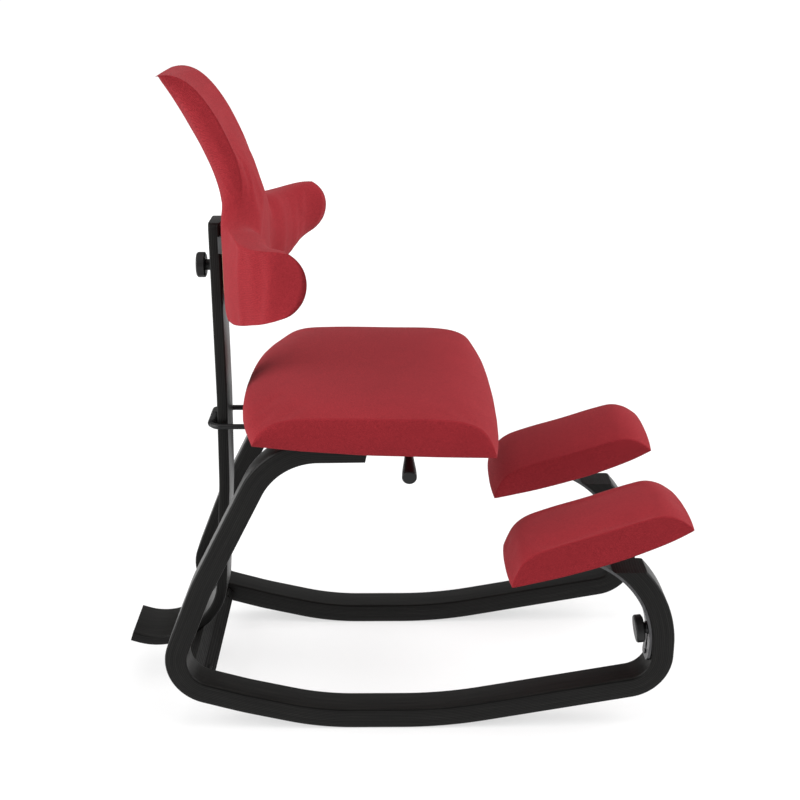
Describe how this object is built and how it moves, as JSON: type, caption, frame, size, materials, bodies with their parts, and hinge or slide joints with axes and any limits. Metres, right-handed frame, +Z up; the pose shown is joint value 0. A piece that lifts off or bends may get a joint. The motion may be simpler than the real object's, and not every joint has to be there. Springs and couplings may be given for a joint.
{
  "type": "kneeling chair",
  "caption": "Rocking kneeling chair: two bent laminated side frames, padded seat, split knee pads on sliding straps, and a winged backrest on a flexing slotted stem.",
  "frame": {"origin": "on the floor, under the middle of the overall length, in the chair's centre plane", "axes": "+X the way the sitter faces, +Y the sitter's left, +Z up"},
  "size_m": [0.8284, 0.51, 0.941],
  "materials": {
    "stained_wood": "black-stained laminated beech, satin lacquer",
    "plywood": "bare birch plywood",
    "red_fabric": "red wool felt, fine weave",
    "black_plastic": "moulded, satin black",
    "black_steel": "black powder coat",
    "zinc_steel": "bright zinc",
    "dark_steel": "black zinc"
  },
  "bodies": {
    "chair_frame": {"side_frame_left": "stained_wood", "side_frame_right": "stained_wood", "cross_board": "stained_wood", "board_dowels": "stained_wood", "stem_foot": "stained_wood", "stem_bolts": "dark_steel", "seat_board": "plywood", "seat_cushion": "red_fabric", "seat_bolts": "dark_steel", "rod_clamp_housing": "black_plastic", "housing_screws": "dark_steel", "lever_pin": "zinc_steel", "knee_inserts": "zinc_steel"},
    "back_stem": {"back_stem": "stained_wood"},
    "support_rod": {"u_rod": "black_steel"},
    "rod_roller": {"rod_roller": "black_plastic"},
    "backrest": {"backrest_bracket": "zinc_steel", "backrest_board": "plywood", "bracket_screws": "dark_steel", "backrest_cushion": "red_fabric"},
    "backrest_knob": {"backrest_knob": "black_plastic", "backrest_stud": "zinc_steel", "backrest_washer": "zinc_steel"},
    "release_lever": {"release_lever": "black_steel", "lever_grip": "black_plastic"},
    "knee_pad_left": {"knee_bracket_left": "zinc_steel", "knee_board_left": "plywood", "knee_screws_left": "dark_steel", "knee_cushion_left": "red_fabric", "strap_screw_left": "dark_steel"},
    "knee_knob_left": {"knee_knob_left": "black_plastic", "knee_stud_left": "zinc_steel", "knee_washer_left": "zinc_steel"},
    "knee_pad_right": {"knee_bracket_right": "zinc_steel", "knee_board_right": "plywood", "knee_screws_right": "dark_steel", "knee_cushion_right": "red_fabric", "strap_screw_right": "dark_steel"},
    "knee_knob_right": {"knee_knob_right": "black_plastic", "knee_stud_right": "zinc_steel", "knee_washer_right": "zinc_steel"}
  },
  "joints": [
    {"name": "stem_lean", "type": "hinge", "parent": "chair_frame", "child": "back_stem", "pos_m": [-0.26585, 0, 0.196], "axis": [0, 1, 0], "range_deg": [-3, 3]},
    {"name": "support_rod_slide", "type": "slide", "parent": "chair_frame", "child": "support_rod", "axis": [1, 0, 0], "range_m": [-0.0125, 0.0125]},
    {"name": "roller_spin", "type": "hinge", "parent": "support_rod", "child": "rod_roller", "pos_m": [-0.2699, 0, 0.4295], "axis": [0, 1, 0], "continuous": true},
    {"name": "backrest_slide", "type": "slide", "parent": "back_stem", "child": "backrest", "axis": [0, 0, 1], "range_m": [-0.04, 0.044]},
    {"name": "backrest_knob_turn", "type": "hinge", "parent": "backrest", "child": "backrest_knob", "pos_m": [-0.27225, 0, 0.6654], "axis": [1, 0, 0], "range_deg": [-360, 0]},
    {"name": "release_lever_lift", "type": "hinge", "parent": "chair_frame", "child": "release_lever", "pos_m": [0.02175, -0.03, 0.4276], "axis": [-1, 0, 0], "range_deg": [0, 12]},
    {"name": "knee_pad_left_adjust", "type": "hinge", "parent": "chair_frame", "child": "knee_pad_left", "pos_m": [0.23175, 0.157, 0.137], "axis": [0, 1, 0], "range_deg": [-10, 2]},
    {"name": "knee_knob_left_turn", "type": "hinge", "parent": "chair_frame", "child": "knee_knob_left", "pos_m": [0.36058, 0.157, 0.15442], "axis": [0.991, 0, 0.134], "range_deg": [-360, 0]},
    {"name": "knee_pad_right_adjust", "type": "hinge", "parent": "chair_frame", "child": "knee_pad_right", "pos_m": [0.23175, -0.157, 0.137], "axis": [0, 1, 0], "range_deg": [-10, 2]},
    {"name": "knee_knob_right_turn", "type": "hinge", "parent": "chair_frame", "child": "knee_knob_right", "pos_m": [0.36058, -0.157, 0.15442], "axis": [0.991, 0, 0.134], "range_deg": [-360, 0]}
  ],
  "couplings": [
    {"joint": "support_rod_slide", "follows": "stem_lean", "m_per_rad": 0.2335}
  ]
}
